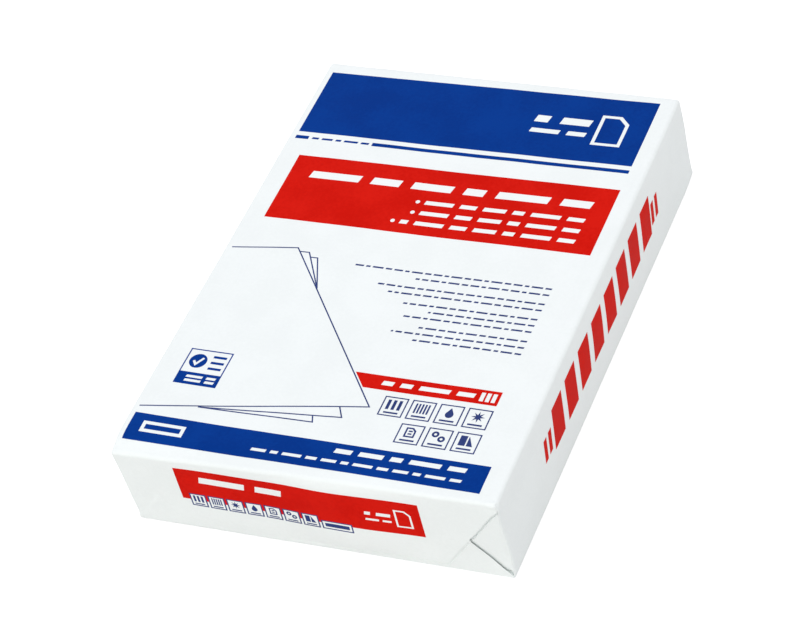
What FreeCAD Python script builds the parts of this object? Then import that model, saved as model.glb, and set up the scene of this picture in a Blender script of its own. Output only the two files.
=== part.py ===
import FreeCAD, Part
import math
import os

# A sealed ream of office paper, lying flat as it is stored.
# Millimetres. X runs across the sheets, Y along them, Z up. The origin is under the middle of the pack.
# The front end, at -Y, carries the label, and the +X side carries the row of blocks.

# Paper inside the wrapper
sheet_width = 210.0
sheet_length = 297.0
sheet_thickness = 0.106
sheet_count = 500

# Wrapper: one ply and the air under it
face_slack = 0.5            # above and below the stack
side_slack = 1.0            # beside its long sides
end_slack = 2.3             # between its ends and the innermost folds
fold_ply = 0.3              # how far one folded flap stands proud of the ply under it
upper_edge_round = 2.0      # long upper edges
lower_edge_round = 2.0      # long lower edges, where the wrapper turns under the stack
upper_fold_round = 2.0      # fold from the top face into an end
lower_fold_round = 1.5      # fold from the underside into an end
corner_round = 2.5          # upright corners

# End folds: the side tucks lie innermost, then the bottom flap, and the top flap closes over both
top_flap_angle = 52.6       # slanted edges of the top flap, from the horizontal, in degrees
bottom_flap_angle = 49.0    # and those of the bottom flap
top_flap_shoulder = 4.1     # from the upper fold down to where the slanted edges start
bottom_flap_shoulder = 1.6  # from the lower fold up to where they start
top_flap_gap = 4.0          # from the underside up to the free edge of the top flap
bottom_flap_reach = 36.0    # how far up the end the bottom flap reaches

# Lap seam along the underside
lap_offset = 28.0           # from the middle of the underside to the free edge of the outer ply
lap_step = 0.3              # depth of the step at that edge
lap_fade = 9.0              # width over which the inner ply comes back down

# Ink
ink_film = 0.1
line_width = 0.7            # printed outlines
text_lean = 12.0            # slant of the bars that stand for words, in degrees from upright
word_gap_ratio = 1.3        # between two bars, in heights of a bar
word_length_ratios = [3.2, 5.6, 2.2, 4.4]   # one bar after another from the right, in heights of a bar
disc_sides = 24             # straight sides that a printed disc is drawn with

# Top artwork, across the face
left_margin = 3.8
band_width = 198.3
right_margin = 9.9
title_indent = 8.1          # from the left end of the bands to the title panel
column_inset = 11.8         # from the right end of the bands to the right-hand column

# Top artwork, along the face from the near edge to the far edge
near_margin = 6.7
footer_depth = 17.7
icon_gap = 6.1
icon_box = 13.1
icon_spacing = 2.2          # between neighbouring pictogram boxes
icon_row_gap = 3.2
strip_gap = 3.4
strip_depth = 9.6
text_gap = 26.2
text_row_pitch = 4.55
text_group_gap = 2.25       # added between two groups of rows
text_head_gap = 23.45
title_depth = 50.6
rule_gap = 13.1
rule_depth = 2.6
header_gap = 3.3
header_depth = 51.3
far_margin = 7.1

# Rows of small print, from the lowest row up, as groups of row lengths in shares of the longest row
text_row_length = 114.0
text_groups = [[0.53, 0.65, 0.54], [0.64, 0.52, 0.66], [0.76, 0.83], [0.66, 1.0]]
text_bar = 1.1

# Sign in the header: a blank page with two rows of bars on its left
sign_rise = 13.8
sign_height = 24.0
sign_page_width = 17.0
sign_page_line = 2.0
sign_gap = 5.0
sign_bars_length = 32.4
sign_large_bar = 5.4
sign_small_bar = 3.4

# Rule under the header
rule_stub = 7.7             # its short piece at the left
rule_words_room = 39.2
rule_words_length = 35.0
rule_bar = 1.5

# Rows in the title panel
title_row_rise = 33.9
title_row_length = 172.2
title_bar = 5.4
title_small_bar = 3.0
title_small_rows = [(23.2, 92.0), (15.0, 92.0), (7.0, 100.6)]   # rise above the panel's edge, length
bullet_radius = 1.3
bullet_gap = 4.0

# Red strip
strip_words_length = 51.0
strip_bar = 3.0
strip_sheet_width = 2.2
strip_sheet_pitch = 3.2
strip_sheet_count = 3
strip_edge = 1.8            # red left above and below the sheets in it

# Footer
number_inset = 7.2
number_rise = 5.6
number_width = 24.6
number_height = 7.4
number_edge = 2.1           # white left around the bar in the box
footer_large_rise = 11.3
footer_large_length = 71.2
footer_large_bar = 3.0
footer_small_rise = 4.8
footer_small_length = 115.6
footer_small_bar = 1.9

# Picture of fanned sheets, on the left of the top
picture_gap = 4.7           # from the footer band to the lowest corner of the front sheet
picture_head_gap = 20.5     # from the title panel to the highest corner
picture_width = 121.8

# Badge on the front sheet
badge_inset = 10.4
badge_width = 24.8
badge_height = 25.0
badge_foot = 8.4            # the filled band at its foot
badge_rise = 23.7           # from the footer band to the badge
badge_disc_radius = 5.0
badge_tick_line = 1.4
badge_edge = 2.4
badge_bar = 1.6
badge_bar_count = 3
badge_bar_length = 7.6
badge_foot_bar = 1.7

# Front end artwork
label_left_margin = 34.5
label_width = 135.2
label_right_margin = 42.3
label_low_margin = 22.2
label_depth = 24.2
label_high_margin = 7.6
label_tilt = -0.7           # the label runs downhill to the right, in degrees
label_words_rise = 14.0
label_words_right = 59.2
label_words_length = 54.7
label_words_bar = 4.6
label_sign_inset = 5.2
label_sign_rise = 5.2
label_sign_height = 12.8
label_page_width = 9.0
label_page_line = 1.1
label_sign_gap = 2.5
label_sign_length = 14.0
label_sign_large_bar = 2.4
label_sign_small_bar = 1.5
label_icon_box = 9.4
label_icon_spacing = 1.2
label_icon_inset = 4.5      # from the left end of the label to the first pictogram
label_icon_drop = 4.6       # how far the pictograms hang below the label
label_number_width = 17.2
label_number_height = 6.4
label_number_edge = 1.9

# Side artwork
side_near_margin = 56.8
side_row_length = 189.2
side_far_margin = 56.8
side_low_margin = 19.8
side_row_height = 22.6
side_high_margin = 11.6
side_block_count = 8
side_block_gap = 6.0
side_stripe_width = 4.0     # the slim stripes at each end of the row
side_stripe_gap = 2.6
side_stripe_count = 2
side_stripe_rise = 3.6      # from the foot of the blocks to the foot of the stripes
side_stripe_height = 12.4
side_lean = 14.0            # slant of the blocks and stripes, in degrees

# Sizes that follow from those above
stack_height = sheet_count * sheet_thickness
ream_width = sheet_width + 2 * side_slack
ream_height = stack_height + 2 * face_slack
ream_length = sheet_length + 2 * end_slack + 4 * fold_ply
half_width = ream_width / 2
half_length = ream_length / 2


def vector(x, y, z=0.0):
    return FreeCAD.Vector(x, y, z)


def polygon(points):
    """A closed outline through points that lie in one plane."""
    corners = [vector(*point) for point in points]
    return Part.makePolygon(corners + corners[:1])


def arc(centre, radius, start, end):
    """An arc in the XY plane, from one angle to another, in degrees."""
    circle = Part.Circle(vector(*centre), vector(0, 0, 1), radius)
    return Part.Arc(circle, math.radians(start), math.radians(end)).toShape()


def rounded_outline(width, height, lower_round, upper_round):
    """A rectangle centred on X that stands on Y = 0, with its lower and upper corners rounded."""
    side = width / 2
    low, high = lower_round, upper_round
    return Part.Wire([
        Part.makeLine(vector(low - side, 0), vector(side - low, 0)),
        arc((side - low, low), low, -90, 0),
        Part.makeLine(vector(side, low), vector(side, height - high)),
        arc((side - high, height - high), high, 0, 90),
        Part.makeLine(vector(side - high, height), vector(high - side, height)),
        arc((high - side, height - high), high, 90, 180),
        Part.makeLine(vector(-side, height - high), vector(-side, low)),
        arc((low - side, low), low, 180, 270),
    ])


def upright(shape):
    """Turn a drawing from the XY plane up into the XZ plane, facing -Y."""
    shape.rotate(vector(0, 0), vector(1, 0, 0), 90)
    return shape


def facing_side(shape):
    """Turn a drawing from the XY plane into the YZ plane, facing +X."""
    shape.rotate(vector(0, 0), vector(1, 1, 1), 120)
    return shape


# The pack

def rounded_block(length):
    """The pack with its three sets of edges rounded, at a given length along Y."""
    section = rounded_outline(ream_width, ream_height, lower_edge_round, upper_edge_round)
    end_view = Part.Face(upright(section))
    end_view.translate(vector(0, length / 2))
    body = end_view.extrude(vector(0, -length))

    long_section = rounded_outline(length, ream_height, lower_fold_round, upper_fold_round)
    side_view = Part.Face(facing_side(long_section))
    side_view.translate(vector(-half_width, 0))
    body = body.common(side_view.extrude(vector(ream_width, 0)))

    plan = Part.Face(rounded_outline(ream_width, length, corner_round, corner_round))
    plan.translate(vector(0, -length / 2))
    return body.common(plan.extrude(vector(0, 0, ream_height)))


def flap(fold_height, shoulder_height, free_height, edge_angle, length):
    """One flap at each end: as wide as the pack down to its shoulders, and narrower towards its free edge."""
    reach = abs(free_height - shoulder_height)
    free_half_width = half_width - reach / math.tan(math.radians(edge_angle))
    outline = upright(polygon([
        (-half_width, fold_height),
        (half_width, fold_height),
        (half_width, shoulder_height),
        (free_half_width, free_height),
        (-free_half_width, free_height),
        (-half_width, shoulder_height),
    ]))
    column = Part.Face(outline)
    column.translate(vector(0, half_length))
    column = column.extrude(vector(0, -ream_length))
    return rounded_block(length).common(column)


def lap_notch():
    """The shallow wedge beside the free edge of the outer ply, along the whole underside."""
    outline = upright(polygon([
        (-lap_offset, 0),
        (-lap_offset, lap_step),
        (-lap_offset - lap_fade, 0),
    ]))
    wedge = Part.Face(outline)
    wedge.translate(vector(0, half_length))
    return wedge.extrude(vector(0, -ream_length))


def wrapped_ream():
    """The sealed pack: one solid, with the folds of both ends in relief and the lap seam underneath."""
    tucks = rounded_block(ream_length - 4 * fold_ply)
    top_shoulder = ream_height - top_flap_shoulder
    bottom_length = ream_length - 2 * fold_ply
    bottom_flap = flap(0.0, bottom_flap_shoulder, bottom_flap_reach, bottom_flap_angle, bottom_length)
    top_flap = flap(ream_height, top_shoulder, top_flap_gap, top_flap_angle, ream_length)
    pack = tucks.multiFuse([bottom_flap, top_flap]).removeSplitter()
    return pack.cut(lap_notch()).removeSplitter()


# Shapes that the print is made of. Each outline is a list of points of a flat drawing

def bar(left, low, right, high, lean=0.0):
    """A bar, leaning to the right by an angle in degrees."""
    shift = (high - low) * math.tan(math.radians(lean))
    return [(left, low), (right, low), (right + shift, high), (left + shift, high)]


def frame(left, low, right, high, line):
    """The two outlines of a drawn frame."""
    return [bar(left, low, right, high), bar(left + line, low + line, right - line, high - line)]


def disc(x, y, radius, first=0.0, last=360.0):
    """A disc, or the round side of one between two angles in degrees."""
    sides = round(disc_sides * (last - first) / 360)
    angles = [math.radians(first + (last - first) * index / sides) for index in range(sides + 1)]
    points = [(x + radius * math.cos(angle), y + radius * math.sin(angle)) for angle in angles]
    return points[:-1] if last - first == 360 else points


def stroke(points, line):
    """The outline of an open line through points, drawn with a given width."""
    corners = [vector(*point) for point in points]
    runs = [(b - a).normalize() for a, b in zip(corners, corners[1:])]
    left, right = [], []
    for corner, before, after in zip(corners, runs[:1] + runs, runs + runs[-1:]):
        across_after = vector(-after.y, after.x)
        bisector = (vector(-before.y, before.x) + across_after).normalize()
        side = bisector * (line / 2 / bisector.dot(across_after))
        left.append((corner.x + side.x, corner.y + side.y))
        right.append((corner.x - side.x, corner.y - side.y))
    return left + right[::-1]


def words(right, low, length, height):
    """A row of bars that stands for a line of words, set flush right."""
    bars = []
    end = right
    row_start = right - length
    while end > row_start + height:
        word_length = word_length_ratios[len(bars) % len(word_length_ratios)] * height
        start = max(end - word_length, row_start)
        bars.append(bar(start, low, end, low + height, text_lean))
        end = start - word_gap_ratio * height
    return bars


def page(left, low, width, height, line):
    """A drawn blank page with a turned corner."""
    turn = width / 3
    inner_turn = turn + line / 2
    right, high = left + width, low + height
    edge = [(left, low), (right, low), (right, high - turn), (right - turn, high), (left, high)]
    blank = [
        (left + line, low + line),
        (right - line, low + line),
        (right - line, high - inner_turn),
        (right - inner_turn, high - line),
        (left + line, high - line),
    ]
    return [edge, blank]


def placed(outlines, x, y, size):
    """Outlines drawn in a square of side one, set down at x, y in a given size."""
    return [[(x + size * across, y + size * along) for across, along in outline] for outline in outlines]


# Pictograms, each drawn in a square of side one between these edges
figure_low, figure_high = 0.34, 0.84
figure_left, figure_right = 0.2, 0.8
figure_middle = (figure_low + figure_high) / 2
figure_centre = (figure_left + figure_right) / 2
caption_low, caption_high = 0.14, 0.22
sheet_share = 0.55          # of the pitch, filled by one standing sheet


def standing_sheets(count):
    """Sheets that stand one behind another."""
    pitch = (figure_right - figure_left) / (count - 1 + sheet_share)
    sheet = sheet_share * pitch
    lefts = [figure_left + index * pitch for index in range(count)]
    return [bar(left, figure_low, left + sheet, figure_high) for left in lefts]


def few_sheets():
    return standing_sheets(3)


def many_sheets():
    return standing_sheets(5)


def drop():
    """A round foot that runs up to a point, straight from where the two sides leave it."""
    radius = 0.17
    side_angle = 30.0
    tip = (figure_centre, figure_low + radius + radius / math.sin(math.radians(side_angle)))
    round_foot = disc(figure_centre, figure_low + radius, radius, 180 - side_angle, 360 + side_angle)
    return [round_foot + [tip]]


def starburst():
    ray_count = 8
    long_ray, short_ray = 0.28, 0.11
    points = []
    for index in range(2 * ray_count):
        angle = math.pi * index / ray_count
        radius = short_ray if index % 2 else long_ray
        across = figure_centre + radius * math.cos(angle)
        points.append((across, figure_middle + radius * math.sin(angle)))
    return [points]


def lined_page():
    width, line = 0.44, 0.07
    left = figure_centre - width / 2
    shapes = page(left, figure_low, width, figure_high - figure_low, line)
    for low in (figure_low + 2 * line, figure_low + 4 * line):
        shapes.append(bar(left + 2 * line, low, left + width - 2 * line, low + line))
    return shapes


def rolls():
    radius, core = 0.15, 0.06
    shapes = []
    for x, y in ((figure_left + radius, figure_high - radius), (figure_right - radius, figure_low + radius)):
        shapes += [disc(x, y, radius), disc(x, y, core)]
    return shapes


def turned_page():
    fold = 0.48
    gap = 0.06
    return [
        bar(figure_left, figure_low, fold, figure_high),
        [(fold + gap, figure_low), (figure_right, figure_low), (fold + gap, figure_high)],
    ]


def pictogram_box(figure, x, y, size, line):
    """A framed pictogram, with a plain bar where its caption would be."""
    caption = bar(figure_left, caption_low, figure_right, caption_high)
    return frame(x, y, x + size, y + size, line) + placed(figure() + [caption], x, y, size)


top_pictograms = [[few_sheets, many_sheets, drop, starburst], [lined_page, rolls, turned_page]]
label_pictograms = [few_sheets, many_sheets, starburst, drop, lined_page, rolls, turned_page]


def film(outlines, across=1.0, along=1.0):
    """Outlines, nested or apart, made into a thin film on the XY plane, stretched to fit the printed face."""
    wires = [polygon([(x * across, y * along) for x, y in outline]) for outline in outlines]
    face = Part.makeFace(wires, "Part::FaceMakerBullseye")
    return face.extrude(vector(0, 0, ink_film))


def gathered(shape):
    """The solids of a shape, as one solid or one group."""
    solids = shape.Solids
    return solids[0] if len(solids) == 1 else Part.makeCompound(solids)


# Top artwork, drawn from the near left corner of the face

text_depth = sum(len(group) for group in text_groups) * text_row_pitch
text_depth += (len(text_groups) - 1) * text_group_gap
band_left = left_margin
band_right = left_margin + band_width
column_right = band_right - column_inset
footer_low = near_margin
footer_high = footer_low + footer_depth
lower_icons_low = footer_high + icon_gap
upper_icons_low = lower_icons_low + icon_box + icon_row_gap
strip_low = upper_icons_low + icon_box + strip_gap
strip_high = strip_low + strip_depth
text_low = strip_high + text_gap
title_low = text_low + text_depth + text_head_gap
title_high = title_low + title_depth
rule_low = title_high + rule_gap
rule_high = rule_low + rule_depth
header_low = rule_high + header_gap
header_high = header_low + header_depth
picture_low = footer_high + picture_gap
picture_depth = title_low - picture_head_gap - picture_low
top_across = ream_width / (band_right + right_margin)
top_along = ream_length / (header_high + far_margin)


def on_top(shape):
    shape.translate(vector(-half_width, -half_length, ream_height))
    return gathered(shape)


def top_film(outlines):
    return film(outlines, top_across, top_along)


def in_picture(points):
    """Points given as shares of the picture's own width and depth."""
    scaled = [(across * picture_width, along * picture_depth) for across, along in points]
    return [(band_left + x, picture_low + y) for x, y in scaled]


# The sheets fan out from the left edge of the face, so the front one has no line there
front_sheet = in_picture([(0.0, 0.96), (0.31, 1.0), (1.0, 0.174), (0.0, 0.0)])
second_sheet_head = in_picture([(0.33, 0.98), (0.373, 0.981), (0.498, 0.778)])
second_sheet_foot = in_picture([(0.874, 0.152), (0.906, 0.097), (0.26, 0.04)])
third_sheet_head = in_picture([(0.39, 0.954), (0.425, 0.954), (0.498, 0.778)])
third_sheet_foot = in_picture([(0.778, 0.085), (0.791, 0.051), (0.26, 0.04)])
sheet_lines = [front_sheet, second_sheet_head, second_sheet_foot, third_sheet_head, third_sheet_foot]


def header_outlines():
    """The header band, with its sign left white in it."""
    low = header_low + sign_rise
    page_left = column_right - sign_page_width
    bars_right = page_left - sign_gap
    upper_bar_low = low + sign_height / 2 + sign_small_bar / 2
    lower_bar_low = upper_bar_low - sign_gap - sign_small_bar
    return [
        bar(band_left, header_low, band_right, header_high),
        *page(page_left, low, sign_page_width, sign_height, sign_page_line),
        *words(bars_right, upper_bar_low, sign_bars_length, sign_large_bar),
        *words(bars_right, lower_bar_low, sign_bars_length, sign_small_bar),
    ]


def rule_outlines():
    """The rule under the header, parted where a small line of words stands in it."""
    stub_end = band_left + rule_stub
    room_end = stub_end + rule_words_room
    words_right = room_end - (rule_words_room - rule_words_length) / 2
    return [
        bar(band_left, rule_low, stub_end, rule_high),
        bar(room_end, rule_low, band_right, rule_high),
        *words(words_right, rule_low + (rule_depth - rule_bar) / 2, rule_words_length, rule_bar),
    ]


def footer_outlines():
    """The footer band, with a number box and two rows of bars left white in it."""
    left = band_left + number_inset
    low = footer_low + number_rise
    right, high = left + number_width, low + number_height
    return [
        bar(band_left, footer_low, band_right, footer_high),
        *frame(left, low, right, high, number_edge),
        *words(column_right, footer_low + footer_large_rise, footer_large_length, footer_large_bar),
        *words(column_right, footer_low + footer_small_rise, footer_small_length, footer_small_bar),
    ]


def badge_outlines():
    """A framed badge: a disc with a tick, three bars beside it, and a filled foot with two bars."""
    left = band_left + badge_inset
    low = footer_high + badge_rise
    right, high = left + badge_width, low + badge_height
    foot = low + badge_foot
    disc_x, disc_y = left + badge_edge + badge_disc_radius, (foot + high) / 2
    reach = badge_disc_radius / 2
    tick = [(disc_x - reach, disc_y), (disc_x - reach / 4, disc_y - reach), (disc_x + reach, disc_y + reach)]
    shapes = [
        bar(left, low, right, high),
        bar(left + line_width, foot, right - line_width, high - line_width),
        disc(disc_x, disc_y, badge_disc_radius),
        stroke(tick, badge_tick_line),
    ]
    bar_pitch = (high - foot) / (badge_bar_count + 1)
    bar_right = right - badge_edge
    for index in range(badge_bar_count):
        bar_low = foot + (index + 1) * bar_pitch - badge_bar / 2
        shapes.append(bar(bar_right - badge_bar_length, bar_low, bar_right, bar_low + badge_bar))
    foot_row = badge_width - 2 * badge_edge
    for share in (1, 2):
        row_low = low + share * badge_foot / 3 - badge_foot_bar / 2
        shapes += words(bar_right, row_low, foot_row, badge_foot_bar)
    return shapes


def title_outlines():
    """The title panel, with one large and three smaller rows of bars left white in it."""
    shapes = [
        bar(band_left + title_indent, title_low, band_right, title_high),
        *words(column_right, title_low + title_row_rise, title_row_length, title_bar),
    ]
    for rise, length in title_small_rows:
        row_low = title_low + rise
        shapes += words(column_right, row_low, length, title_small_bar)
        shapes.append(disc(column_right - length - bullet_gap, row_low + title_small_bar / 2, bullet_radius))
    return shapes


def strip_outlines():
    """The red strip that starts at the slanted edge of the front sheet."""
    upper, lower = front_sheet[1:3]
    run = (lower[0] - upper[0]) / (lower[1] - upper[1])
    clear = 2 * line_width
    left_low = upper[0] + (strip_low - upper[1]) * run + clear
    left_high = upper[0] + (strip_high - upper[1]) * run + clear
    sheets_left = column_right - strip_edge - (strip_sheet_count - 1) * strip_sheet_pitch - strip_sheet_width
    words_right = sheets_left - strip_sheet_pitch
    low_edge = [(left_low, strip_low), (column_right, strip_low)]
    high_edge = [(column_right, strip_high), (left_high, strip_high)]
    shapes = [
        low_edge + high_edge,
        *words(words_right, strip_low + (strip_depth - strip_bar) / 2, strip_words_length, strip_bar),
    ]
    for index in range(strip_sheet_count):
        left = sheets_left + index * strip_sheet_pitch
        shapes.append(bar(left, strip_low + strip_edge, left + strip_sheet_width, strip_high - strip_edge))
    return shapes


def text_outlines():
    """Groups of rows of small bars, for the small print."""
    shapes = []
    low = text_low
    for group in text_groups:
        for share in group:
            shapes += words(column_right, low, share * text_row_length, text_bar)
            low += text_row_pitch
        low += text_group_gap
    return shapes


def top_pictogram_outlines():
    shapes = []
    for low, figures in zip((upper_icons_low, lower_icons_low), top_pictograms):
        for index, figure in enumerate(reversed(figures)):
            left = column_right - icon_box - index * (icon_box + icon_spacing)
            shapes += pictogram_box(figure, left, low, icon_box, line_width)
    return shapes


def top_blue_print():
    return on_top(top_film(header_outlines() + rule_outlines() + footer_outlines() + badge_outlines()))


def top_red_print():
    return on_top(top_film(title_outlines() + strip_outlines()))


def top_line_print():
    """Everything on the top that is drawn in fine navy lines."""
    first, *others = [top_film([stroke(points, line_width)]) for points in sheet_lines]
    sheets = first.multiFuse(others)
    return on_top(Part.makeCompound([sheets, top_film(text_outlines() + top_pictogram_outlines())]))


# Front end artwork, drawn from the lower left corner of the end

label_right = label_left_margin + label_width
label_high = label_low_margin + label_depth
label_icon_low = label_low_margin - label_icon_drop
end_across = ream_width / (label_right + label_right_margin)
end_along = ream_height / (label_high + label_high_margin)


def on_front_end(shape):
    """Tilt a drawing as the label lies, and set it on the outer face of the top flap."""
    middle_x = (label_left_margin + label_width / 2) * end_across
    middle_y = (label_low_margin + label_depth / 2) * end_along
    shape.rotate(vector(middle_x, middle_y), vector(0, 0, 1), label_tilt)
    shape = upright(shape)
    shape.translate(vector(-half_width, -half_length))
    return gathered(shape)


def end_film(outlines):
    return film(outlines, end_across, end_along)


def label_icon_left(index):
    return label_left_margin + label_icon_inset + index * (label_icon_box + label_icon_spacing)


def label_number_edges():
    """Left, low, right and high edges of the small box after the pictograms."""
    left = label_icon_left(len(label_pictograms))
    return left, label_icon_low, left + label_number_width, label_icon_low + label_number_height


def label_places():
    """The places of the pictograms and the number box, which the red leaves white."""
    lefts = [label_icon_left(index) for index in range(len(label_pictograms))]
    icon_high = label_icon_low + label_icon_box
    places = [bar(left, label_icon_low, left + label_icon_box, icon_high) for left in lefts]
    return end_film(places + [bar(*label_number_edges())])


def end_red_print():
    """The label, with bars and a blank page left white in it."""
    sign_low = label_low_margin + label_sign_rise
    page_left = label_right - label_sign_inset - label_page_width
    bars_right = page_left - label_sign_gap
    upper_bar_low = sign_low + label_sign_height / 2
    lower_bar_low = upper_bar_low - label_sign_gap - label_sign_small_bar
    words_right = label_left_margin + label_words_right
    label = end_film([
        bar(label_left_margin, label_low_margin, label_right, label_high),
        *words(words_right, label_low_margin + label_words_rise, label_words_length, label_words_bar),
        *page(page_left, sign_low, label_page_width, label_sign_height, label_page_line),
        *words(bars_right, upper_bar_low, label_sign_length, label_sign_large_bar),
        *words(bars_right, lower_bar_low, label_sign_length, label_sign_small_bar),
    ])
    return on_front_end(label.cut(label_places()))


def end_line_print():
    """The row of pictograms and the number box at the foot of the label."""
    left, low, right, high = label_number_edges()
    shapes = frame(left, low, right, high, line_width)
    shapes.append(bar(left + label_number_edge, low + label_number_edge,
                      right - label_number_edge, high - label_number_edge))
    for index, figure in enumerate(label_pictograms):
        shapes += pictogram_box(figure, label_icon_left(index), label_icon_low, label_icon_box, line_width)
    return on_front_end(end_film(shapes))


# Side artwork, drawn from the near lower corner of the +X side

side_across = ream_length / (side_near_margin + side_row_length + side_far_margin)
side_along = ream_height / (side_low_margin + side_row_height + side_high_margin)


def side_red_print():
    """A row of slanted blocks, closed at each end by slim stripes about half as tall."""
    low, high = side_low_margin, side_low_margin + side_row_height
    stripe_low = low + side_stripe_rise
    stripe_high = stripe_low + side_stripe_height
    near_end = side_near_margin
    far_end = side_near_margin + side_row_length - side_stripe_height * math.tan(math.radians(side_lean))
    stripe_pitch = side_stripe_width + side_stripe_gap
    shapes = []
    for index in range(side_stripe_count):
        near = near_end + index * stripe_pitch
        far = far_end - index * stripe_pitch
        shapes.append(bar(near, stripe_low, near + side_stripe_width, stripe_high, side_lean))
        shapes.append(bar(far - side_stripe_width, stripe_low, far, stripe_high, side_lean))
    blocks_start = near_end + side_stripe_count * stripe_pitch
    blocks_end = far_end - side_stripe_count * stripe_pitch
    block_pitch = (blocks_end - blocks_start + side_block_gap) / side_block_count
    for index in range(side_block_count):
        start = blocks_start + index * block_pitch
        shapes.append(bar(start, low, start + block_pitch - side_block_gap, high, side_lean))
    row = film(shapes, side_across, side_along)
    row.translate(vector(-half_length, 0))
    row = facing_side(row)
    row.translate(vector(half_width, 0))
    return gathered(row)


nodes = {
    "wrapped_ream": wrapped_ream,
    "top_blue_print": top_blue_print,
    "top_red_print": top_red_print,
    "top_line_print": top_line_print,
    "end_red_print": end_red_print,
    "end_line_print": end_line_print,
    "side_red_print": side_red_print,
}

os.makedirs("parts", exist_ok=True)
for name, make in nodes.items():
    node = make()
    node.exportStep("parts/" + name + ".step")
    print(name, "solids", len(node.Solids), "volume", round(node.Volume, 1), "valid", node.isValid())
print("pack", round(ream_width, 2), round(ream_length, 2), round(ream_height, 2))
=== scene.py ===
# %% [markdown]
# A sealed ream of office paper, dressed for a picture.
# The frame holds the pack as a rounded block with its folded ends, and the print as six thin films.
# This lesson lays a soft, slightly wavy wrapper over that block, and presses the films onto it.
# All shapes are worked out in millimetres, as a paper maker would give them, and scaled at the end.

# %% Load the frame
import math

import bmesh
import bpy
from mathutils import Matrix, Vector, noise


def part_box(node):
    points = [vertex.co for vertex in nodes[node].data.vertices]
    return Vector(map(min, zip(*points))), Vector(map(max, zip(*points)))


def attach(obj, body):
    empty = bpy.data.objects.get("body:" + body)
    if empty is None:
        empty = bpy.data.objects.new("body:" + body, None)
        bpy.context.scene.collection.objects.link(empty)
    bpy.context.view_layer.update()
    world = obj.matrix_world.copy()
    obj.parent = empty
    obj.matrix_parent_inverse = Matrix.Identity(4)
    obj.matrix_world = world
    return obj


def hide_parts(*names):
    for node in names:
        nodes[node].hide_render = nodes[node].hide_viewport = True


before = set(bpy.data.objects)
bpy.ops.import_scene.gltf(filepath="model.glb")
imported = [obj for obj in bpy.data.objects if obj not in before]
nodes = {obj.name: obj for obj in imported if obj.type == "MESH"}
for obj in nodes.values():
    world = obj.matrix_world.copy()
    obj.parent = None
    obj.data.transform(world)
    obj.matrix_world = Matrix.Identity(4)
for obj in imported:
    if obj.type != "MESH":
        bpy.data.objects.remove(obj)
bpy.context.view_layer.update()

mm = 0.001
pack_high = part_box("wrapped_ream")[1]
half_width = pack_high.x / mm
half_length = pack_high.y / mm
height = pack_high.z / mm
print("pack, mm:", round(2 * half_width, 1), round(2 * half_length, 1), round(height, 1))

# %% [markdown]
# The wrapper is one sheet drawn tightly round a block of 500 sheets, so its edges are small round folds.
# A bevel modifier would give every edge one radius, but here each set of edges has its own: the upright
# corners are the sharpest of all at the top, and the roundest further down, where the paper is slack.
# So each point of a plain box is moved by a small rule, one set of edges after another.

# %% Round the edges of a box
upper_edge_round = 2.0      # the long edges of the top face
lower_edge_round = 1.8      # and of the underside
upper_fold_round = 2.0      # the folds between the top face and the ends
lower_fold_round = 1.5      # and those at the underside
corner_round_high = 1.2     # upright corners, at the top face
corner_round_low = 3.5      # and further down, where the folded paper is slack
corner_foot = 6.0           # below this height they draw together again


def smooth_step(value):
    """A soft rise from nothing to one, while the value goes from nothing to one."""
    value = min(max(value, 0.0), 1.0)
    return value * value * (3 - 2 * value)


def rounded_pair(a, b, half_a, half_b, radius):
    """Move a point near a rectangle's corner onto the round corner. It is measured from the middle."""
    over_a = abs(a) - half_a + radius
    over_b = abs(b) - half_b + radius
    if min(over_a, over_b) <= 0:
        return a, b
    shrink = max(over_a, over_b) / math.hypot(over_a, over_b)
    new_a = half_a - radius + over_a * shrink
    new_b = half_b - radius + over_b * shrink
    return math.copysign(new_a, a), math.copysign(new_b, b)


def skin(x, y, z):
    """The place on the rounded pack of a point on a plain box of the same size."""
    middle = height / 2
    rise = z - middle
    edge_round = upper_edge_round if rise > 0 else lower_edge_round
    fold_round = upper_fold_round if rise > 0 else lower_fold_round
    slack_corner = (1 - z / height) * smooth_step(z / corner_foot)
    corner_round = corner_round_high + (corner_round_low - corner_round_high) * slack_corner
    x, rise = rounded_pair(x, rise, half_width, middle, edge_round)
    y, rise = rounded_pair(y, rise, half_length, middle, fold_round)
    x, y = rounded_pair(x, y, half_width, half_length, corner_round)
    return x, y, rise + middle


def shortened(place):
    """The numbers of a place, rounded for printing."""
    return [round(value, 2) for value in place]


print("rounded corner of the pack, mm:", shortened(skin(half_width, -half_length, height)))

# %% [markdown]
# At each end the wrapper is folded like a parcel: two side tucks, then a flap from below, then one from
# above. The flaps are trapezoids with slanted edges, and beside a flap that doesn't lie tight there is
# a dark gap. Separate sheets of paper would need glue joints at every fold, so the whole end stays one
# surface here, and a rule moves each place behind the outer flap, and into the pocket under a flap that
# stands off. The sizes of the folds come first.

# %% Sizes of the end folds
top_flap_angle = math.radians(53.4)
bottom_flap_angle = math.radians(49.5)
top_flap_shoulder = 3.9     # the slanted edges start this far below the upper fold
bottom_flap_shoulder = 0.5  # and this far above the lower one
top_flap_foot = 4.0         # height of the free edge of the top flap
bottom_flap_head = 36.0     # height of the free edge of the bottom flap, under the top one
bottom_flap_sink = 0.55     # how far each layer lies behind the outer flap, where the flaps lie loose
tuck_sink = 1.1
foot_gap = 0.5              # added in the gap under the free edge of the top flap
gap_width = 1.0
gap_bank = 0.5              # width over which a gap runs out again
corner_fade = 1.3           # the layers come together at the upright corners
fold_fade = 1.5             # and at the fold under the pack

pocket_reach = 2.6          # how far a pocket reaches under the bottom flap, against its gap
pocket_clear = 8.0          # it closes towards the underside over this height

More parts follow.
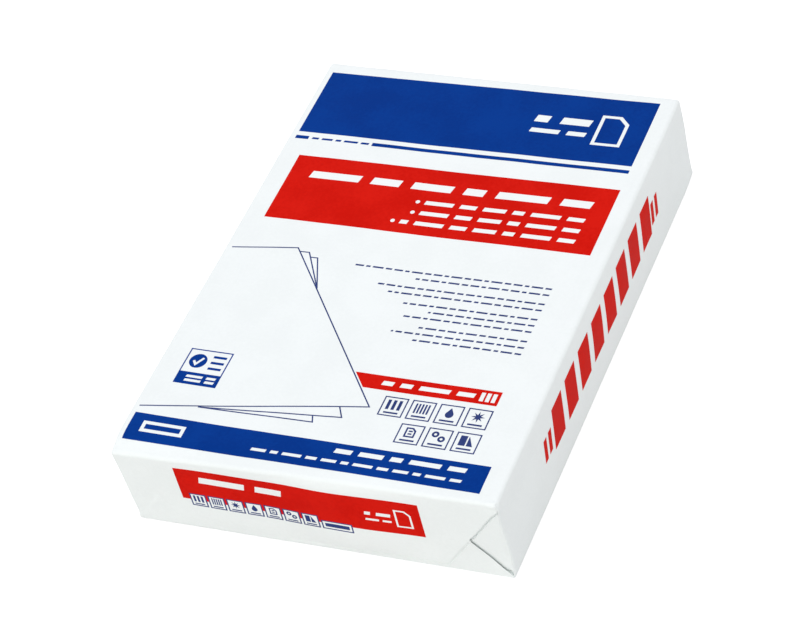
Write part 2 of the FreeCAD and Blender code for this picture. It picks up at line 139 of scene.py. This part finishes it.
# How far the gaps beside the slanted edges of the top and the bottom flap open, at each end and side
gaps = {
    ("front", "right"): (1.0, 1.8),
    ("front", "left"): (0.0, 0.0),
    ("back", "right"): (0.2, 0.9),
    ("back", "left"): (0.8, 0.2),
}
pressed = 0.1               # how loosely the flaps lie on the left of the front end, against the right
press_fade = 40.0           # they come loose between this far left and this far right of the middle
back_looseness = 0.8
print("deepest gap, mm:", round(tuck_sink + max(max(pair) for pair in gaps.values()), 1))

# %% [markdown]
# A place on an end belongs to the outermost layer that covers it. Its distances from the edges of the
# two flaps tell which layer that is, how deep it lies, and whether the place falls into a gap.

# %% Put each layer behind the next


def looseness(x, y):
    """How loosely the flaps lie at a place: the left of the front end is pressed almost flat."""
    if y > 0:
        return back_looseness
    return pressed + (1 - pressed) * smooth_step((x + press_fade) / (2 * press_fade))


def slant(x, rise, shoulder, angle):
    """Distance outwards from the slanted edge of a flap. Rise is measured from the flap's fold."""
    return math.sin(angle) * (abs(x) - half_width) + math.cos(angle) * (rise - shoulder)


def in_gap(off):
    """One in the gap beside an edge, and nothing further off."""
    return 1 - smooth_step((off - gap_width) / gap_bank)


def folded_back(x, y, z):
    """How a place on an end moves behind the outer flap."""
    top_gap, bottom_gap = gaps["front" if y < 0 else "back", "right" if x > 0 else "left"]
    off_top = max(slant(x, height - z, top_flap_shoulder, top_flap_angle), top_flap_foot - z)
    off_bottom = max(slant(x, z, bottom_flap_shoulder, bottom_flap_angle), z - bottom_flap_head)
    if off_top < 0:
        return Vector()
    depth = bottom_flap_sink + foot_gap * in_gap(off_top)
    under = 0.0
    if off_bottom > 0:
        pocket = bottom_gap * in_gap(off_bottom)
        depth = tuck_sink + max(top_gap * in_gap(off_top), pocket)
        under = pocket_reach * pocket * smooth_step(z / pocket_clear)
    sideways = -math.copysign(math.sin(bottom_flap_angle), x) * under
    shift = Vector((sideways, -math.copysign(depth, y), -math.cos(bottom_flap_angle) * under))
    free = smooth_step((half_width - abs(x)) / corner_fade) * smooth_step(z / fold_fade)
    return looseness(x, y) * free * shift


in_tuck = half_width - 2 * gap_width
print("move in the front tuck, mm:", shortened(folded_back(in_tuck, -half_length, height / 2)))

# %% [markdown]
# Real wrapping paper isn't flat: it ripples a little over the stack, its sides swell and turn under,
# and the folded edges waver. Cloth simulation could give that, but the pack is tight and holds still,
# so a few gentle waves of noise are enough, and the print can follow the same waves.

# %% Gentle waves
noise_gain = 1.6            # brings the noise to between about -1 and 1
edge_strip = 6.0            # along an edge, one face's waves give way to the next over this width

# Each wave's pitch, which is about the distance between its crests, and a shift that sets it apart
waves = {
    "side": (42.0, 3.1),
    "flute": (5.5, 1.9),
    "end": (26.0, 7.7),
    "top": (60.0, 1.3),
    "top ripple": (21.0, 4.2),
    "edge swing": (24.0, 9.4),
    "edge nick": (9.0, 2.6),
    "edge sway": (17.0, 5.8),
    "crumple across": (3.1, 6.6),
    "crumple along": (3.7, 8.8),
    "crumple down": (2.9, 0.4),
    "free edge": (38.0, 2.2),
}


def wave(name, x, y, z):
    """The height at a place of a smooth wave without direction, between about -1 and 1."""
    pitch, shift = waves[name]
    return noise_gain * noise.noise(Vector((x / pitch + shift, y / pitch, z / pitch)))


def near_edge(distance):
    """One on an edge, and nothing further in than the edge strip."""
    return smooth_step(1 - distance / edge_strip)


pitches = [pitch for pitch, shift in waves.values()]
print("waves:", len(waves), "with pitches from", min(pitches), "to", max(pitches), "mm")

# %% [markdown]
# The corners hold the long sides in, and between them the wrapper stands out a little and turns under
# at the foot. The stack itself leans, and it doesn't lie quite straight in its wrapper.

# %% Slack across the pack
side_wave = 0.35
side_swell = 0.9            # the long sides stand out a little at half height
swell_run = 50.0            # over this length from the corners, which hold them in, they come out
left_slack = 0.7            # air between the stack and the wrapper on the left
turn_under = 0.25           # the sides draw in towards the underside
turn_under_height = 9.0
flute = 0.3                 # upright creases in the sides, near the corners
flute_reach = 26.0
flute_stretch = 4.0         # how many times longer they are upwards than along the side
side_skew = 0.7             # the pack doesn't lie quite straight in its wrapper
lean = 1.6                  # the stack leans: its foot lies further to the right than its top
lean_skew = 0.5             # and more so at the far end
lean_start = 60.0           # the wrapper takes this up between here and the sides


def slack_across(x, y, z):
    """How far a place moves to the right."""
    from_corner = half_length - abs(y)
    level = z / height
    swell = side_swell * smooth_step(from_corner / swell_run) * (1 - (2 * level - 1) ** 2)
    if x < 0:
        swell += left_slack
    under = turn_under * smooth_step(1 - z / turn_under_height) ** 2
    fluting = flute * math.exp(-from_corner / flute_reach) * wave("flute", 0, y, z / flute_stretch)
    ripple = side_wave * wave("side", x, y, z) + fluting
    outwards = swell - under + ripple * math.sin(math.pi * level)
    skewed = side_skew * y / half_length
    leaning = smooth_step((abs(x) - lean_start) / (half_width - lean_start)) * (1 - level)
    moved = near_edge(half_width - abs(x)) * (math.copysign(1.0, x) * outwards - skewed)
    return moved + leaning * (lean + lean_skew * y / half_length)


print("right side at half height, mm:", round(slack_across(half_width, 0, height / 2), 2))

# %% [markdown]
# The folded ends are several loose layers, so they stand off the stack, on the left more than on the
# right. The loose flap of the front end bulges as well, and its foot flares.

# %% Slack along the pack
end_wave = 0.25
end_wave_margin = 8.0       # the waves run out over this width, at the foot and at the corners
end_puff = 0.45             # the folded ends stand off the stack
end_skew = 1.35             # and their left corners stand out
bulge = 1.3                 # how far the front flap bulges
bulge_middle = 17.0         # where, to the right of the middle of the pack
bulge_reach = 30.0          # and how wide
bulge_foot = 12.0           # it runs out over this height towards the underside
bulge_head = 6.0            # and over this one towards the top
flare = 0.4                 # the foot of the front end stands out
flare_skew = 0.4            # and more so on the right
flare_height = 15.0


def slack_along(x, y, z):
    """How far a place moves to the back."""
    held = smooth_step(z / end_wave_margin) * smooth_step((half_width - abs(x)) / end_wave_margin)
    outwards = end_wave * wave("end", x, y, z) * held + end_puff - end_skew * x / half_width
    if y < 0:
        beside = (x - bulge_middle) / bulge_reach
        upright = smooth_step(z / bulge_foot) * smooth_step((height - z) / bulge_head)
        outwards += bulge * math.exp(-beside * beside) * upright
        outwards += smooth_step(1 - z / flare_height) * (flare + flare_skew * x / half_width)
    return near_edge(half_length - abs(y)) * math.copysign(1.0, y) * outwards


print("top of the bulge, mm:", round(slack_along(bulge_middle, -half_length, height / 2), 2))

# %% [markdown]
# On the flat top the wrapper ripples in long, low waves. Its folds at the ends hang a little, and they
# waver, because the flaps pull at them unevenly.

# %% Ripples of the top face and its folds
top_wave = 0.22             # height of the long, low waves on the top face
top_ripple = 0.4            # height of the shorter waves on them, against the long ones
edge_wave = 0.3             # wavering of the fold between the top face and an end
edge_sag = 0.5              # as shares of it, the fold sinks this far all along,
edge_swing = 0.7            # this far in long swings
edge_nick = 0.3             # and this far in short nicks,
edge_pull = 0.3             # and it is pulled in this far all along
edge_sway = 0.5             # and this far in swings
back_edge_share = 0.6       # the far fold wavers less than the near one


def rippled(x, y, z):
    """How the waves of the top face and the wavering of its folds move a place."""
    end_share = near_edge(half_length - abs(y))
    top_share = near_edge(height - z)
    ripple = wave("top", x, y, 0) + top_ripple * wave("top ripple", x, y, 0)
    rise = top_share * top_wave * ripple * (1 - end_share)
    waver = edge_wave * end_share * top_share * (1 if y < 0 else back_edge_share)
    sag = edge_sag + edge_swing * wave("edge swing", x, 0, 0) + edge_nick * wave("edge nick", x, 0, 0)
    inwards = waver * (edge_pull + edge_sway * wave("edge sway", x, 0, 0))
    return Vector((0.0, -math.copysign(1.0, y) * inwards, rise - waver * sag))


print("middle of the front fold, mm:", shortened(rippled(0, -half_length, height)))

# %% [markdown]
# The corners of such a pack get knocked. One is crumpled, and three are pushed a little out of place,
# each with the slack paper round it. With that, all the ways in which the wrapper leaves the rounded
# block are known, and one function adds them up.

# %% Crumples, slack corners and the sum of it all
crumple = 0.5               # depth of the crumples at the near right corner of the top face
crumple_reach = 9.0

# Slack corners: which corner of the pack, how far its slack reaches each way,
# and how the corner itself moves
slack_corners = [
    ((-1, -1, 1), (75.0, 6.5, 9.0), Vector((0.4, -0.5, -2.2))),
    ((-1, -1, 0), (30.0, 12.0, 26.0), Vector((1.0, 0.0, 0.0))),
    ((1, 1, 0), (8.0, 10.0, 40.0), Vector((-0.9, -0.9, 0.0))),
]


def crumpled(x, y, z):
    """How the crumples at the near right corner move a place."""
    away = math.dist((x, y, z), (half_width, -half_length, height)) / crumple_reach
    across = wave("crumple across", x, y, z)
    along = wave("crumple along", x, y, z)
    down = abs(wave("crumple down", x, y, z))
    return crumple * math.exp(-away * away) * Vector((across, along, -down))


def slack(x, y, z):
    """How far the wrapper leaves the rounded block at a place, in the three directions."""
    moved = Vector((slack_across(x, y, z), slack_along(x, y, z), 0.0))
    moved += rippled(x, y, z) + crumpled(x, y, z)
    for (side, end, upper), reach, shift in slack_corners:
        corner = (side * half_width, end * half_length, upper * height)
        away = [(place - start) / far for place, start, far in zip((x, y, z), corner, reach)]
        moved += shift * math.exp(-sum(share * share for share in away))
    return moved


print("slack at the near left corner, mm:", shortened(slack(-half_width, -half_length, height)))

# %% [markdown]
# Under the pack the two long edges of the wrapper overlap and are glued. The outer one ends in a low
# step. The free edge of the top flap isn't ruled straight either: it wanders up and down a little.

# %% Lap seam, free edge and the finished place of any point
lap_edge = -28.0            # place of the free edge of the outer ply, across the pack
lap_step = 0.3
lap_fade = 9.0              # beside it, the inner ply comes down to the table over this width
free_edge_wander = 0.8      # how far the free edge of the top flap wanders
wander_reach = 3.0          # the paper above and below goes with it over this height
wander_margin = 20.0        # and it stays in place towards the corners over this width


def lap_rise(x):
    """How far the inner ply stands off the table beside the free edge of the outer ply."""
    beside = lap_edge - x
    return lap_step * (1 - beside / lap_fade) if 0 <= beside < lap_fade else 0.0


def wandered(x, z):
    """How far a place on an end moves up or down with the free edge of the top flap."""
    beside = math.exp(-((z - top_flap_foot) / wander_reach) ** 2)
    held = smooth_step((half_width - abs(x)) / wander_margin) * smooth_step(z / fold_fade)
    return free_edge_wander * beside * held * wave("free edge", x, 0, 0)


def settled(x, y, z):
    """The place of a box point on the finished wrapper, in millimetres."""
    place = Vector(skin(x, y, z)) + slack(x, y, z)
    if abs(y) == half_length:
        place += folded_back(x, y, z)
        place.z += wandered(x, z)
    if z == 0:
        place.z += lap_rise(x)
    place.z = max(place.z, 0.0)
    return place


print("middle of the top face, mm:", shortened(settled(0, 0, height)))

# %% [markdown]
# The wrapper's mesh is a box covered in a grid, which is closer near the edges, where the surface
# turns. A subdivided cube would be quicker to make, but its grid would be as coarse there as anywhere.

# %% Grid over the box
# Beside an edge the grid lines lie this far from it
edge_steps = [0.0, 0.3, 0.6, 0.95, 1.35, 1.8, 2.3, 2.9, 3.6, 4.4, 5.4]
grid_spacing = 3.0          # and further in they lie about this far apart


def grid_lines(low, high):
    """Places of the grid lines between two edges."""
    inner_low = low + edge_steps[-1]
    inner_high = high - edge_steps[-1]
    count = round((inner_high - inner_low) / grid_spacing)
    inner = [inner_low + (inner_high - inner_low) * index / count for index in range(1, count)]
    return [low + step for step in edge_steps] + inner + [high - step for step in reversed(edge_steps)]


# The sides of the box and the grid lines between them: across, along and up the pack
box_sides = [(-half_width, half_width), (-half_length, half_length), (0.0, height)]
box_lines = [grid_lines(low, high) for low, high in box_sides]


def grid_box():
    """A box covered in a grid, as one closed mesh, in millimetres."""
    mesh = bmesh.new()
    xs, ys, zs = box_lines
    corners = {}

    def corner(place):
        """The one vertex at a place, which the panels share."""
        if place not in corners:
            corners[place] = mesh.verts.new(place)
        return corners[place]

    def panel(firsts, seconds, place):
        """One face of the box, as a grid of small faces."""
        for a, next_a in zip(firsts, firsts[1:]):
            for b, next_b in zip(seconds, seconds[1:]):
                ring = [place(a, b), place(next_a, b), place(next_a, next_b), place(a, next_b)]
                mesh.faces.new([corner(point) for point in ring])

    for z in (0.0, height):
        panel(xs, ys, lambda x, y: (x, y, z))
    for y in (-half_length, half_length):
        panel(xs, zs, lambda x, z: (x, y, z))
    for x in (-half_width, half_width):
        panel(ys, zs, lambda y, z: (x, y, z))
    bmesh.ops.recalc_face_normals(mesh, faces=mesh.faces)
    return mesh


wrapper_mesh = grid_box()
print("faces of the gridded box:", len(wrapper_mesh.faces))

# %% [markdown]
# Along each flap edge the grid is cut twice, a hair apart, so that the step between two layers is
# upright, and once on each side of the bank where a gap runs out. Cutting a plain grid is simpler
# than drawing an end face whose mesh follows every fold.

# %% Cut the flap edges and the lap seam into the grid
cut_tolerance = 1e-4
hair = 0.06
edge_cuts = [-hair, hair, gap_width, gap_width + gap_bank]

# The slanted edges of the top and the bottom flap: the height at which they start on the upright
# corners, their angle, and whether the flap ends downwards or upwards
flap_edges = [
    (height - top_flap_shoulder, top_flap_angle, -1),
    (bottom_flap_shoulder, bottom_flap_angle, 1),
]


def cut(mesh, belongs, point, normal):
    """Cut the faces that belong to one side of the box along a plane."""
    faces = [face for face in mesh.faces if all(belongs(vert.co) for vert in face.verts)]
    edges = dict.fromkeys(edge for face in faces for edge in face.edges)
    verts = dict.fromkeys(vert for face in faces for vert in face.verts)
    geometry = faces + list(edges) + list(verts)
    bmesh.ops.bisect_plane(mesh, geom=geometry, dist=cut_tolerance, plane_co=point, plane_no=normal)


def cut_end(mesh, end):
    """Cut the slanted and the free edges of both flaps into one end of the box."""
    def on_end(place):
        return abs(place.y - end) < cut_tolerance

    for to_side in (-1, 1):
        for shoulder, angle, upwards in flap_edges:
            normal = Vector((to_side * math.sin(angle), 0, upwards * math.cos(angle)))
            start = Vector((to_side * half_width, end, shoulder))
            for off in edge_cuts:
                cut(mesh, on_end, start + off * normal, normal)
    for off in edge_cuts:
        cut(mesh, on_end, Vector((0, end, top_flap_foot - off)), Vector((0, 0, 1)))


def cut_seam(mesh):
    """Cut the step of the lap seam into the underside of the box."""
    def underneath(place):
        return abs(place.z) < cut_tolerance

    for x in (lap_edge - lap_fade, lap_edge - hair, lap_edge + hair):
        cut(mesh, underneath, Vector((x, 0, 0)), Vector((1, 0, 0)))


for end in (-half_length, half_length):
    cut_end(wrapper_mesh, end)
cut_seam(wrapper_mesh)
print("wrapper faces:", len(wrapper_mesh.faces))

# %% [markdown]
# Now every point of the gridded box goes to its place on the pack. The surface is then shaded smooth,
# but an edge where it turns sharply, as at the steps between the layers, stays crisp.

# %% Settle the grid onto the pack
sharp_turn = math.radians(40)


def snapped(place):
    """A box point with its coordinates set exactly on the end and the underside that it lies on."""
    x, y, z = place
    if abs(abs(y) - half_length) < cut_tolerance:
        y = math.copysign(half_length, y)
    if abs(z) < cut_tolerance:
        z = 0.0
    return x, y, z


def piece_from(mesh, name):
    """A shaded object from a mesh in millimetres."""
    for vert in mesh.verts:
        vert.co *= mm
    mesh.normal_update()
    for edge in mesh.edges:
        if len(edge.link_faces) == 2:
            edge.smooth = edge.calc_face_angle() < sharp_turn
    for face in mesh.faces:
        face.smooth = True
    data = bpy.data.meshes.new(name)
    mesh.to_mesh(data)
    mesh.free()
    piece = bpy.data.objects.new(name, data)
    bpy.context.scene.collection.objects.link(piece)
    return piece


for vert in wrapper_mesh.verts:
    vert.co = settled(*snapped(vert.co))
wrapper = piece_from(wrapper_mesh, "wrapper")
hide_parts("wrapped_ream")
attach(wrapper, "root")
print("wrapper, mm:", [round(size / mm, 1) for size in wrapper.dimensions])

# %% [markdown]
# The print is ink, which has no thickness. The frame carries it as films of 0.1 mm, drawn flat.
# Each film is cut along the wrapper's own grid lines, and every point of it then takes the rounding and
# the waves of the wrapper. Those on the front end lie on the outer flap, clear of its edges.
# A texture would need an image, and the films keep every edge of the print sharp.

# %% Lay the printed films on the wrapper
film_middle = 0.05          # half the thickness of a film in the frame
film_lift = 0.05            # how far the printed surface stands above the paper
film_root = 0.05            # how far the film reaches into it

# Each film with its slot, the direction that it faces, and the face of the box it lies on
films = {
    "top_blue_print": ("blue_ink", 2, height),
    "top_red_print": ("red_ink", 2, height),
    "top_line_print": ("navy_ink", 2, height),
    "end_red_print": ("red_ink", 1, -half_length),
    "end_line_print": ("navy_ink", 1, -half_length),
    "side_red_print": ("red_ink", 0, half_width),
}


def gridded_film(node, facing):
    """The mesh of a flat film from the frame, in millimetres, cut along the wrapper's grid lines."""
    mesh = bmesh.new()
    source = nodes[node].data
    corners = [mesh.verts.new(vert.co / mm) for vert in source.vertices]
    for polygon in source.polygons:
        ring = [corners[index] for index in polygon.vertices]
        mesh.faces.new(ring)
    bmesh.ops.remove_doubles(mesh, verts=mesh.verts, dist=cut_tolerance)
    for axis, lines in enumerate(box_lines):
        if axis == facing:
            continue
        places = [vert.co[axis] for vert in mesh.verts]
        normal = Vector([float(axis == index) for index in range(3)])
        for line in lines:
            if min(places) + cut_tolerance < line < max(places) - cut_tolerance:
                geometry = list(mesh.verts) + list(mesh.edges) + list(mesh.faces)
                bmesh.ops.bisect_plane(
                    mesh, geom=geometry, dist=cut_tolerance, plane_co=normal * line, plane_no=normal)
    return mesh


def press_film(mesh, facing, level):
    """Move a flat film onto the wrapper, half above the paper and half in it."""
    outwards = math.copysign(1.0, level)
    for vert in mesh.verts:
        outer = (vert.co[facing] - level) * outwards > film_middle
        flat = vert.co.copy()
        flat[facing] = level
        place = settled(*flat)
        place[facing] += outwards * (film_lift if outer else -film_root)
        vert.co = place


printed = {}
for node, (ink, facing, level) in films.items():
    mesh = gridded_film(node, facing)
    press_film(mesh, facing, level)
    faces = len(mesh.faces)
    piece = piece_from(mesh, node.replace("print", "ink"))
    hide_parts(node)
    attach(piece, "root")
    printed[node] = piece
    print(piece.name, "faces:", faces)

# %% [markdown]
# Paper and ink share one surface: the fine grain of coated paper. It is built once, as a node group,
# and each material decides how strongly it shows. The group gives a height for the bump, with the grain
# and the faint, long wrinkles that a pack picks up in handling, and a cloud of small differences
# in tone. A picture of paper could do the same, but noise has no seam and stays sharp up close.

# %% Noise in the paper
# Each pattern's number of waves in a metre, its levels of detail, its roughness and its distortion
patterns = {
    "fibres": (2600.0, 3.0, 0.6, 0.4),
    "mottle": (520.0, 4.0, 0.55, 0.0),
    "clouds": (38.0, 3.0, 0.5, 0.0),
    "wrinkles": (70.0, 2.0, 0.4, 0.0),
}


def value_node(tree, kind, *inputs):
    """A math node with its inputs linked or set."""
    node = tree.nodes.new("ShaderNodeMath")
    node.operation = kind
    for index, entry in enumerate(inputs):
        if isinstance(entry, bpy.types.NodeSocket):
            tree.links.new(entry, node.inputs[index])
        else:
            node.inputs[index].default_value = entry
    return node.outputs[0]


def noise_node(tree, place, pattern):
    """The value of one of the patterns at a place, between nothing and one."""
    node = tree.nodes.new("ShaderNodeTexNoise")
    tree.links.new(place, node.inputs["Vector"])
    for name, number in zip(("Scale", "Detail", "Roughness", "Distortion"), patterns[pattern]):
        node.inputs[name].default_value = number
    return node.outputs["Fac"]


def range_node(tree, value, from_low, from_high, to_low, to_high):
    """A value brought softly from one range to another."""
    node = tree.nodes.new("ShaderNodeMapRange")
    node.interpolation_type = "SMOOTHSTEP"
    tree.links.new(value, node.inputs["Value"])
    node.inputs["From Min"].default_value = from_low
    node.inputs["From Max"].default_value = from_high
    node.inputs["To Min"].default_value = to_low
    node.inputs["To Max"].default_value = to_high
    return node.outputs["Result"]


print("patterns:", sorted(patterns))

# %% [markdown]
# A node group is a small tree with sockets of its own, so one change to it reaches every material.
# Here the place goes in, and with it how strongly the grain and the wrinkles show. Height and tone
# come out. The wrinkles are the same kind of noise, turned a little and drawn out one way.

# %% Node group for the surface of the paper
usual_strength = 0.5        # of the grain and the wrinkles, where a material doesn't set its own
wrinkle_turn = (0.4, 0.3, 0.5)
wrinkle_stretch = (1.0, 0.25, 1.0)
mottle_height = 1.4         # height of the mottle, against the fibres
cloud_tone = 0.6            # shares of the clouds and of the mottle in the tone
mottle_tone = 0.4


def paper_surface_group():
    """Height and tone of coated paper, from the place on the pack in metres."""
    tree = bpy.data.node_groups.new("paper surface", "ShaderNodeTree")
    place = tree.interface.new_socket("Place", in_out="INPUT", socket_type="NodeSocketVector")
    place.hide_value = True
    for name in ("Grain", "Wrinkle"):
        socket = tree.interface.new_socket(name, in_out="INPUT", socket_type="NodeSocketFloat")
        socket.default_value = usual_strength
    for name in ("Height", "Tone"):
        tree.interface.new_socket(name, in_out="OUTPUT", socket_type="NodeSocketFloat")
    source = tree.nodes.new("NodeGroupInput")
    result = tree.nodes.new("NodeGroupOutput")
    where = source.outputs["Place"]

    fibres = noise_node(tree, where, "fibres")
    mottle = noise_node(tree, where, "mottle")
    clouds = noise_node(tree, where, "clouds")
    slanted = tree.nodes.new("ShaderNodeMapping")
    slanted.inputs["Rotation"].default_value = wrinkle_turn
    slanted.inputs["Scale"].default_value = wrinkle_stretch
    tree.links.new(where, slanted.inputs["Vector"])
    wrinkles = noise_node(tree, slanted.outputs["Vector"], "wrinkles")

    grain = value_node(tree, "ADD", fibres, value_node(tree, "MULTIPLY", mottle, mottle_height))
    grain = value_node(tree, "MULTIPLY", grain, source.outputs["Grain"])
    bend = value_node(tree, "MULTIPLY", wrinkles, source.outputs["Wrinkle"])
    cloudy = value_node(tree, "MULTIPLY", clouds, cloud_tone)
    mottled = value_node(tree, "MULTIPLY", mottle, mottle_tone)
    tree.links.new(value_node(tree, "ADD", grain, bend), result.inputs["Height"])
    tree.links.new(value_node(tree, "ADD", cloudy, mottled), result.inputs["Tone"])
    return tree


paper_surface = paper_surface_group()
print("group:", paper_surface.name, [item.name for item in paper_surface.interface.items_tree])

# %% [markdown]
# The wrapper is bleached paper with a thin coating and a low sheen, and the inks lie on that coating.
# A strong sheen would wash out the inks under the white surroundings, so theirs is almost nothing.
# One maker function builds all four finishes, each with its own values.

# %% Maker of a paper finish
tone_range = (0.38, 0.62)   # of the group's tone, from the darker colour of a finish to the paler one
sheen_range = (0.35, 0.65)  # and from its smoothest places to its roughest
sheen_drift = 0.05
bump_strength = 0.35
bump_depth = 0.06 * mm

# A mix node has sockets for every kind of data. These are the places of those for colours.
mix_share = 0
mix_first = 6
mix_second = 7
mix_result = 2


def mixed_colours(tree, share, first, second):
    """A colour between two others."""
    node = tree.nodes.new("ShaderNodeMix")
    node.data_type = "RGBA"
    tree.links.new(share, node.inputs[mix_share])
    node.inputs[mix_first].default_value = (*first, 1.0)
    node.inputs[mix_second].default_value = (*second, 1.0)
    return node.outputs[mix_result]


def paper_finish(name, dark, light, roughness, specular, grain, wrinkle):
    """A coated paper surface whose tone drifts between two close colours."""
    material = bpy.data.materials.new(name)
    material.use_nodes = True
    tree = material.node_tree
    shader = tree.nodes["Principled BSDF"]
    where = tree.nodes.new("ShaderNodeTexCoord").outputs["Object"]
    surface = tree.nodes.new("ShaderNodeGroup")
    surface.node_tree = paper_surface
    tree.links.new(where, surface.inputs["Place"])
    surface.inputs["Grain"].default_value = grain
    surface.inputs["Wrinkle"].default_value = wrinkle

    tone = range_node(tree, surface.outputs["Tone"], *tone_range, 0.0, 1.0)
    tree.links.new(mixed_colours(tree, tone, dark, light), shader.inputs["Base Color"])
    smoothest = roughness - sheen_drift
    roughest = roughness + sheen_drift
    sheen = range_node(tree, surface.outputs["Tone"], *sheen_range, smoothest, roughest)
    tree.links.new(sheen, shader.inputs["Roughness"])
    shader.inputs["Specular IOR Level"].default_value = specular

    bump = tree.nodes.new("ShaderNodeBump")
    bump.inputs["Strength"].default_value = bump_strength
    bump.inputs["Distance"].default_value = bump_depth
    tree.links.new(surface.outputs["Height"], bump.inputs["Height"])
    tree.links.new(bump.outputs["Normal"], shader.inputs["Normal"])
    return material


print("depth of the bump, mm:", round(bump_depth / mm, 2))

# %% [markdown]
# Paper isn't pure white, and these inks are far from pure too: each finish is given as the darker and
# the paler colour between which its tone drifts. The three inks have everything else in common.

# %% The four finishes
paper_tones = ((0.844, 0.879, 0.873), (0.871, 0.906, 0.9))
ink_tones = {
    "blue_ink": ((0.0004, 0.033, 0.235), (0.001, 0.041, 0.27)),
    "red_ink": ((0.6, 0.0055, 0.0015), (0.67, 0.0095, 0.004)),
    "navy_ink": ((0.026, 0.045, 0.165), (0.038, 0.06, 0.2)),
}
finishes = {
    "wrapper_paper": paper_finish(
        "wrapper paper", *paper_tones, roughness=0.5, specular=0.3, grain=0.5, wrinkle=2.0),
}
for slot, tones in ink_tones.items():
    finishes[slot] = paper_finish(
        slot.replace("_", " "), *tones, roughness=0.45, specular=0.02, grain=0.35, wrinkle=0.6)

wrapper.data.materials.append(finishes["wrapper_paper"])
for node, piece in printed.items():
    piece.data.materials.append(finishes[films[node][0]])
print("finishes:", sorted(finishes))

# %% [markdown]
# The pack lies on a white sweep. A floor that is lit to pure white would flood the pack with light,
# so the white is added only where the camera sees the floor, directly or in a gloss, and the floor
# still takes the pack's soft shadow.

# %% Floor
floor_reach = 6.0           # metres from the middle to the edges of the floor
floor_tone = 0.62           # how pale the floor is in the studio's light
floor_glow = 0.6            # and how much white is added for the camera


def seen_directly(tree):
    """One for rays from the camera, and for those that a shiny or clear surface passes on."""
    path = tree.nodes.new("ShaderNodeLightPath")
    seen = value_node(tree, "MAXIMUM", path.outputs["Is Camera Ray"], path.outputs["Is Glossy Ray"])
    return value_node(tree, "MAXIMUM", seen, path.outputs["Is Transmission Ray"])


floor_data = bpy.data.meshes.new("floor")
floor_signs = ((-1, -1), (1, -1), (1, 1), (-1, 1))
floor_corners = [(x * floor_reach, y * floor_reach, 0.0) for x, y in floor_signs]
floor_data.from_pydata(floor_corners, [], [(0, 1, 2, 3)])
floor = bpy.data.objects.new("floor", floor_data)
bpy.context.scene.collection.objects.link(floor)

floor_material = bpy.data.materials.new("white sweep")
floor_material.use_nodes = True
tree = floor_material.node_tree
tree.nodes.remove(tree.nodes["Principled BSDF"])
matt = tree.nodes.new("ShaderNodeBsdfDiffuse")
matt.inputs["Color"].default_value = (floor_tone, floor_tone, floor_tone, 1.0)
glow = tree.nodes.new("ShaderNodeEmission")
tree.links.new(value_node(tree, "MULTIPLY", seen_directly(tree), floor_glow), glow.inputs["Strength"])
both = tree.nodes.new("ShaderNodeAddShader")
tree.links.new(matt.outputs[0], both.inputs[0])
tree.links.new(glow.outputs[0], both.inputs[1])
tree.links.new(both.outputs[0], tree.nodes["Material Output"].inputs["Surface"])
floor_data.materials.append(floor_material)
print("floor, metres:", round(floor.dimensions.x, 1), round(floor.dimensions.y, 1))

# %% [markdown]
# The world round the pack lights it evenly from all sides, and the camera sees that world as white.

# %% Surroundings
ambient = 0.9               # strength of the light from all round

world = bpy.data.worlds.new("studio")
bpy.context.scene.world = world
world.use_nodes = True
tree = world.node_tree
strength = range_node(tree, seen_directly(tree), 0.0, 1.0, ambient, 1.0)
tree.links.new(strength, tree.nodes["Background"].inputs["Strength"])
tree.nodes["Background"].inputs["Color"].default_value = (1.0, 1.0, 1.0, 1.0)
print("surroundings light the pack at", ambient)

# %% [markdown]
# The photograph's light is very even. The top face is the palest and a little blue, then comes the
# front end, then the long side. So one broad, cool lamp hangs overhead, and a faintly warm one stands
# in front. Suns are used, because their light doesn't fall off along the pack.

# %% Lamps
lamp_spread = math.radians(90)  # each lamp looks this wide from the pack, so its shadows are soft

# Each lamp with the direction towards it, its strength and its colour
lamps = {
    "overhead lamp": (Vector((0.0, 0.0, 1.0)), 0.3, (0.58, 0.62, 1.0)),
    "front lamp": (Vector((0.0, -0.94, 0.34)), 0.82, (1.0, 1.0, 0.87)),
}
for name, (towards, strength, colour) in lamps.items():
    data = bpy.data.lights.new(name, "SUN")
    data.energy = strength
    data.color = colour
    data.angle = lamp_spread
    lamp = bpy.data.objects.new(name, data)
    lamp.rotation_euler = towards.to_track_quat("Z", "Y").to_euler()
    bpy.context.scene.collection.objects.link(lamp)
    print(name, "strength", strength)

# %% [markdown]
# The camera stands where the photograph was taken, found by fitting the pack's corners and printed
# bands. It is far away and looks through a long lens, and it is turned about its own axis.

# %% Camera
camera_place = Vector((583.75, -933.76, 1041.35)) * mm
camera_forward = Vector((-0.39418, 0.61706, -0.68107))
camera_right = Vector((0.91088, 0.3608, -0.2003))
camera_lens = 125.88        # millimetres, for a sensor of the width below
camera_sensor = 36.0

backwards = -camera_forward.normalized()
right = (camera_right - camera_right.dot(backwards) * backwards).normalized()
up = backwards.cross(right)
camera_data = bpy.data.cameras.new("camera")
camera_data.lens = camera_lens
camera_data.sensor_width = camera_sensor
camera = bpy.data.objects.new("camera", camera_data)
turn = Matrix((right, up, backwards)).transposed().to_4x4()
camera.matrix_world = Matrix.Translation(camera_place) @ turn
bpy.context.scene.collection.objects.link(camera)
bpy.context.scene.camera = camera
bpy.context.scene.view_settings.view_transform = "Standard"
print("camera distance, mm:", round(camera_place.length / mm))
